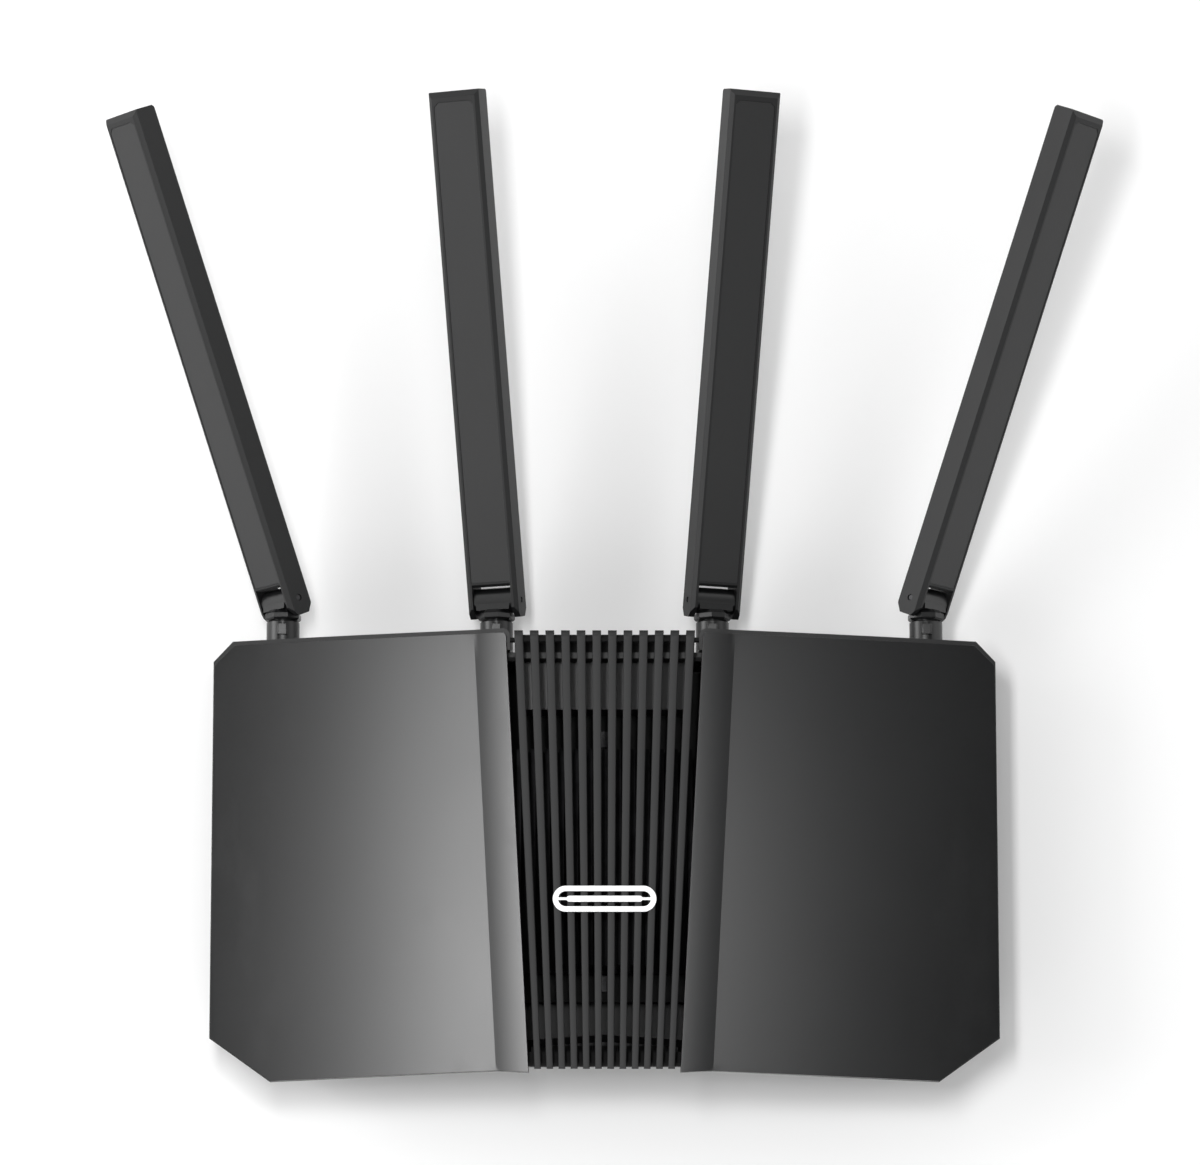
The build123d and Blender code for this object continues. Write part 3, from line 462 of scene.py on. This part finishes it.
def roof_height(x, out):
    """Height of a cover at x from the middle and out from the channel's edge."""
    beyond = max(x, x + SHOULDER_WIDTH - out if out < SHOULDER_WIDTH else x) - CREASE_X
    height = CREASE_Z - PANEL_SLOPE * beyond - PANEL_CURVE * beyond * beyond
    if out < SHOULDER_WIDTH:
        share = out / SHOULDER_WIDTH
        height += SHOULDER_RISE * (1 - share) + 4 * SHOULDER_CROWN * share * (1 - share)
    return height


def spaced(low, high, count):
    """Evenly spaced numbers from low to high, in count steps."""
    return [low + (high - low) * k / count for k in range(count + 1)]


def cover_outline():
    """The outline's corners from the strip's rear round the side to its front, from the body's middle."""
    panel_front = -COVER_FRONT + FRONT_SWEEP
    strip_front = panel_front - STRIP_SWEEP
    return [
        (channel_edge(COVER_REAR + REAR_SWEEP), COVER_REAR + REAR_SWEEP),
        (HALF_WIDTH - REAR_CORNER, COVER_REAR),
        (HALF_WIDTH, COVER_REAR - REAR_CORNER),
        (HALF_WIDTH, -COVER_FRONT + FRONT_CORNER[1]),
        (HALF_WIDTH - FRONT_CORNER[0], -COVER_FRONT),
        (channel_edge(panel_front) + SHOULDER_WIDTH, panel_front),
        (channel_edge(strip_front), strip_front),
    ]


def roof_patch(side, columns, outline):
    """Part of a cover's outer face: a grid laid on the roof, cut along each edge of the outline."""
    bpy.ops.object.select_all(action="DESELECT")
    bpy.ops.mesh.primitive_grid_add(x_subdivisions=len(columns) - 1, y_subdivisions=COVER_ROWS, size=1)
    patch = bpy.context.object
    reach = COVER_FRONT + GRID_MARGIN
    for vertex in patch.data.vertices:
        out = columns[round((vertex.co.x + 0.5) * (len(columns) - 1))]
        y = 2 * reach * vertex.co.y
        x = channel_edge(y) + out
        vertex.co = (side * x, BODY_Y + y, roof_height(x, out))
    with editing(patch):
        for start, end in outline:
            along = (Vector(end) - Vector(start)).normalized()
            bpy.ops.mesh.select_all(action="SELECT")
            bpy.ops.mesh.bisect(
                plane_co=(side * start[0], BODY_Y + start[1], 0),
                plane_no=(-side * along.y, along.x, 0),
                clear_outer=True,
                threshold=FINE,
            )
        if side < 0:
            bpy.ops.mesh.select_all(action="SELECT")
            bpy.ops.mesh.flip_normals()
    return patch


def cover_sheet(side):
    """A cover's outer face: the strip by the channel and the panel beyond, joined at a sharp crease."""
    corners = cover_outline()
    edges = list(zip(corners, corners[1:]))
    panel = roof_patch(side, spaced(SHOULDER_WIDTH, PANEL_REACH, PANEL_COLUMNS), edges[:5])
    strip = roof_patch(side, spaced(0, SHOULDER_WIDTH, STRIP_COLUMNS), [edges[0], edges[5]])
    sheet = join(panel, strip)

    def on_crease(vertex):
        y = vertex.co.y - BODY_Y
        return abs(side * vertex.co.x - channel_edge(y) - SHOULDER_WIDTH) < CREASE_CATCH

    with editing(sheet, "EDGE") as mesh:
        bpy.ops.mesh.select_all(action="SELECT")
        bpy.ops.mesh.remove_doubles(threshold=SEAM_MERGE)
        pick(mesh, "edges", lambda e: all(on_crease(v) for v in e.verts))
        bpy.ops.mesh.mark_sharp()
    corner = Vector((side * corners[0][0], BODY_Y + corners[0][1]))
    with editing(sheet, "VERT") as mesh:
        pick(mesh, "verts", lambda v: (v.co.xy - corner).length < CORNER_CATCH)
        bpy.ops.mesh.bevel(offset=INNER_CORNER, affect="VERTICES", segments=5)
    return sheet


def screw_post(side, x, y):
    """A bored post under a cover, which takes a case screw."""
    top = roof_height(x, 2 * SHOULDER_WIDTH) - COVER_THICK + POST_OVERLAP
    middle = (side * x, BODY_Y + y, (top + POST_FOOT) / 2)
    height = top - POST_FOOT
    bpy.ops.object.select_all(action="DESELECT")
    bpy.ops.mesh.primitive_cylinder_add(vertices=32, radius=POST_RADIUS, depth=height, location=middle)
    post = bpy.context.object
    with editing(post) as mesh:
        pick(mesh, "faces", lambda f: f.normal.z < -0.9)
        bpy.ops.mesh.inset(thickness=POST_RADIUS - POST_BORE)
        bore = (0, 0, POST_HOLE_TOP - POST_FOOT)
        bpy.ops.mesh.extrude_region_move(TRANSFORM_OT_translate={"value": bore})
    only(post)
    bpy.ops.object.transform_apply(location=True, rotation=True, scale=True)
    return post


class ROUTER_OT_covers(bpy.types.Operator):
    """Two satin covers that slope away from the vent grille"""
    bl_idname = "router.covers"
    bl_label = "Covers"

    def execute(self, context):
        looks = context.scene.router_looks
        for side, node in ((-1, "left_cover"), (1, "right_cover")):
            cover = cover_sheet(side)
            apply(cover, "SOLIDIFY", thickness=COVER_THICK, offset=-1, use_even_offset=True)
            soften(cover, looks.cover_edge, 3, COVER_BEVEL_ANGLE)
            posts = [screw_post(side, x, y) for x, y in POST_PLACES]
            join(cover, *posts)
            settle(cover, node + "_skin", "cover_plastic", "housing", node)
        return {"FINISHED"}


# ================================================================ pieces that keep the frame's shape
class ROUTER_OT_case(bpy.types.Operator):
    """Lower housing, vent grille and badge, with their edges eased"""
    bl_idname = "router.case"
    bl_label = "Housing and grille"

    def execute(self, context):
        looks = context.scene.router_looks
        for node, slot, edge, smooth in (
            ("lower_housing", "housing_plastic", 0.0, SMOOTH_ANGLE),
            ("vent_grille", "grille_plastic", 0.0, GRILLE_SMOOTH_ANGLE),
            ("badge", "badge_white", looks.fine_edge, SMOOTH_ANGLE),
        ):
            piece = merged_copy(node)
            soften(piece, edge, smooth=smooth)
            settle(piece, node + "_skin", slot, "housing", node)
        return {"FINISHED"}


def blade_axes(name):
    """The hinge's pivot, and the blade's width, length and face directions at rest."""
    tilt = next(j for j in frame["joints"] if j["name"] == name + "_blade_tilt")
    pin = Vector(tilt["axis"])
    lean = -math.radians(tilt["range_deg"][0])
    flat = pin.cross(Vector((0, -1, 0)))  # the blade's face when it lies in line with its collar
    face = flat * math.cos(lean) + Vector((0, -1, 0)) * math.sin(lean)
    return Vector(tilt["pos_m"]), pin, face.cross(pin), face


def stop_nub(name):
    """A small rounded stop at the root of a blade's fork."""
    pivot, _, along, face = blade_axes(name)
    bpy.ops.object.select_all(action="DESELECT")
    bpy.ops.mesh.primitive_uv_sphere_add(
        segments=20, ring_count=12, radius=NUB_RADIUS, location=pivot + along * FORK_DEPTH + face * NUB_OUT
    )
    nub = bpy.context.object
    only(nub)
    bpy.ops.object.transform_apply(location=True, rotation=True, scale=True)
    return nub


class ROUTER_OT_antennas(bpy.types.Operator):
    """Four antennas: blade, face plate, swivel and collar each"""
    bl_idname = "router.antennas"
    bl_label = "Antennas"

    def execute(self, context):
        edge = context.scene.router_looks.fine_edge
        for name in ANTENNAS:
            for part, slot in (
                ("blade", "blade_plastic"),
                ("face_plate", "blade_face_plastic"),
                ("swivel", "hinge_plastic"),
                ("collar", "hinge_plastic"),
            ):
                node = f"{name}_{part}"
                piece = merged_copy(node)
                soften(piece, edge)
                if part == "blade":
                    nub = stop_nub(name)
                    soften(nub, 0)
                    join(piece, nub)
                settle(piece, node + "_skin", slot, body_of(node), node)
        return {"FINISHED"}


class ROUTER_OT_details(bpy.types.Operator):
    """Sockets, buttons, feet and screws, with their edges eased"""
    bl_idname = "router.details"
    bl_label = "Sockets, buttons and feet"

    def execute(self, context):
        edge = context.scene.router_looks.fine_edge
        for node, slot, width in (
            ("lan_jacks", "socket_plastic", edge),
            ("wan_jack", "socket_plastic", edge),
            ("dc_jack", "socket_plastic", edge),
            ("usb_port", "shield_tinplate", 0.0),
            ("power_button", "housing_plastic", edge),
            ("wps_button", "housing_plastic", edge),
            ("reset_button", "housing_plastic", 0.0),
            ("rubber_feet", "foot_rubber", edge),
            ("case_screws", "screw_steel", 0.0),
        ):
            piece = merged_copy(node)
            soften(piece, width)
            settle(piece, node + "_skin", slot, body_of(node), node)
        return {"FINISHED"}


class ROUTER_OT_finishes(bpy.types.Operator):
    """Makes every material, and gives the frame's own nodes theirs"""
    bl_idname = "router.finishes"
    bl_label = "Materials"

    def execute(self, context):
        finishes = make_finishes(context.scene.router_looks)
        for part in frame["record"]["subparts"]:
            mesh = frame["nodes"][part["node"]].data
            mesh.materials.clear()
            mesh.materials.append(finishes[part["material_slot"]])
        return {"FINISHED"}


# ================================================================ stage
def soft_box(name, place, target, size, watts):
    """A rectangular area light that faces target and doesn't show itself."""
    lamp = bpy.data.lights.new(name, "AREA")
    lamp.shape = "RECTANGLE"
    lamp.size, lamp.size_y = size
    lamp.energy = watts
    box = bpy.data.objects.new(name, lamp)
    box.location = place
    box.rotation_euler = (Vector(target) - Vector(place)).to_track_quat("-Z", "Y").to_euler()
    box.visible_camera = False
    bpy.context.scene.collection.objects.link(box)


def studio_air(horizon, zenith):
    """A world that is bright round the horizon and dark overhead."""
    world = bpy.data.worlds.new("studio_air")
    world.use_nodes = True
    tree = world.node_tree
    place = tree.nodes.new("ShaderNodeTexCoord")
    split = tree.nodes.new("ShaderNodeSeparateXYZ")
    ramp = tree.nodes.new("ShaderNodeValToRGB")
    ramp.color_ramp.elements[0].position = HORIZON_TOP
    ramp.color_ramp.elements[0].color = (horizon, horizon, horizon, 1)
    ramp.color_ramp.elements[1].position = DARK_FROM
    ramp.color_ramp.elements[1].color = (zenith, zenith, zenith, 1)
    tree.links.new(place.outputs["Generated"], split.inputs[0])
    tree.links.new(split.outputs["Z"], ramp.inputs[0])
    tree.links.new(ramp.outputs[0], tree.nodes["Background"].inputs["Color"])
    bpy.context.scene.world = world


class ROUTER_OT_stage(bpy.types.Operator):
    """Pale floor, soft lights and the camera"""
    bl_idname = "router.stage"
    bl_label = "Stage"

    def execute(self, context):
        looks = context.scene.router_stage
        bpy.ops.object.select_all(action="DESELECT")
        bpy.ops.mesh.primitive_plane_add(size=FLOOR_SIZE)
        floor = context.object
        floor.name = "floor"
        paper = Finish("floor_paper")
        tone = paper.spread(paper.noise(3.0, 2.0), 0.3, 0.7)
        paper.put(paper.shader, {
            "Base Color": paper.blend(tone, looks.floor_colour, shade(looks.floor_colour, 0.99)),
            "Roughness": 0.85 + tone * 0.1,
        })
        floor.data.materials.append(paper.material)

        camera = bpy.data.cameras.new("camera")
        camera.lens = LENS
        camera.sensor_width = SENSOR
        camera.clip_end = 100.0
        viewer = bpy.data.objects.new("camera", camera)
        back = Vector((0, -math.cos(CAMERA_ELEVATION), math.sin(CAMERA_ELEVATION)))
        viewer.location = AIM + back * CAMERA_DISTANCE
        viewer.rotation_euler = (-back).to_track_quat("-Z", "Y").to_euler()
        context.scene.collection.objects.link(viewer)
        context.scene.camera = viewer

        soft_box("key", KEY_PLACE, (*KEY_PLACE[:2], 0), KEY_SIZE, looks.key_power)
        soft_box("fill", FILL_PLACE, (*FILL_PLACE[:2], 0), FILL_SIZE, looks.fill_power)
        soft_box("side", SIDE_PLACE, SIDE_TARGET, SIDE_SIZE, looks.side_power)
        studio_air(looks.horizon_light, looks.overhead_light)
        context.scene.view_settings.view_transform = "Standard"
        return {"FINISHED"}


# ================================================================ add-on
class RouterLooks(bpy.types.PropertyGroup):
    """Sizes and colours of the router's own finishes."""

    plastic_colour: FloatVectorProperty(
        name="Plastic", description="Colour of the dark moulded plastic", subtype="COLOR",
        size=3, min=0, max=1, default=(0.0055, 0.0057, 0.0060),
    )
    badge_colour: FloatVectorProperty(
        name="Badge", description="Colour of the badge on the grille", subtype="COLOR",
        size=3, min=0, max=1, default=(0.82, 0.83, 0.83),
    )
    plastic_roughness: FloatProperty(
        name="Cover roughness", description="How broad the covers' highlights are",
        subtype="FACTOR", min=0, max=1, default=0.3,
    )
    cover_edge: FloatProperty(
        name="Cover edge", description="Width of the rounding along the covers' edges",
        subtype="DISTANCE", unit="LENGTH", min=0, max=0.001, default=0.45 * MM,
    )
    fine_edge: FloatProperty(
        name="Fine edge", description="Width of the rounding on antennas and small pieces",
        subtype="DISTANCE", unit="LENGTH", min=0, max=0.0005, default=0.15 * MM,
    )


class RouterStage(bpy.types.PropertyGroup):
    """Floor and lights."""

    floor_colour: FloatVectorProperty(
        name="Floor", description="Colour of the floor", subtype="COLOR",
        size=3, min=0, max=1, default=(0.9, 0.9, 0.9),
    )
    key_power: FloatProperty(
        name="Key light", description="Power of the soft box over the left cover",
        subtype="POWER", unit="POWER", min=0, default=4.1,
    )
    fill_power: FloatProperty(
        name="Fill light", description="Power of the wide soft box over the middle",
        subtype="POWER", unit="POWER", min=0, default=1.2,
    )
    side_power: FloatProperty(
        name="Side light", description="Power of the soft box low on the left",
        subtype="POWER", unit="POWER", min=0, default=15.0,
    )
    horizon_light: FloatProperty(
        name="Horizon", description="Brightness of the studio near the floor", min=0, default=1.3,
    )
    overhead_light: FloatProperty(
        name="Overhead", description="Brightness of the studio overhead", min=0, default=0.01,
    )


class ROUTER_PT_panel(bpy.types.Panel):
    """The router's sizes, colours and building steps"""
    bl_idname = "ROUTER_PT_panel"
    bl_label = "Wireless router"
    bl_space_type = "VIEW_3D"
    bl_region_type = "UI"
    bl_category = "Router"

    def draw(self, context):
        for group in (context.scene.router_looks, context.scene.router_stage):
            for key in group.__annotations__:
                self.layout.prop(group, key)
        for step in STEPS:
            self.layout.operator(step.bl_idname)


STEPS = (
    ROUTER_OT_stage,
    ROUTER_OT_finishes,
    ROUTER_OT_covers,
    ROUTER_OT_case,
    ROUTER_OT_antennas,
    ROUTER_OT_details,
)
CLASSES = (RouterLooks, RouterStage, *STEPS, ROUTER_PT_panel)


def register():
    for item in CLASSES:
        bpy.utils.register_class(item)
    bpy.types.Scene.router_looks = PointerProperty(type=RouterLooks)
    bpy.types.Scene.router_stage = PointerProperty(type=RouterStage)


def unregister():
    del bpy.types.Scene.router_stage
    del bpy.types.Scene.router_looks
    for item in reversed(CLASSES):
        bpy.utils.unregister_class(item)


def main():
    register()
    bpy.ops.router.stage()
    bpy.ops.router.finishes()
    bpy.ops.router.covers()
    bpy.ops.router.case()
    bpy.ops.router.antennas()
    bpy.ops.router.details()


if __name__ == "__main__":
    main()
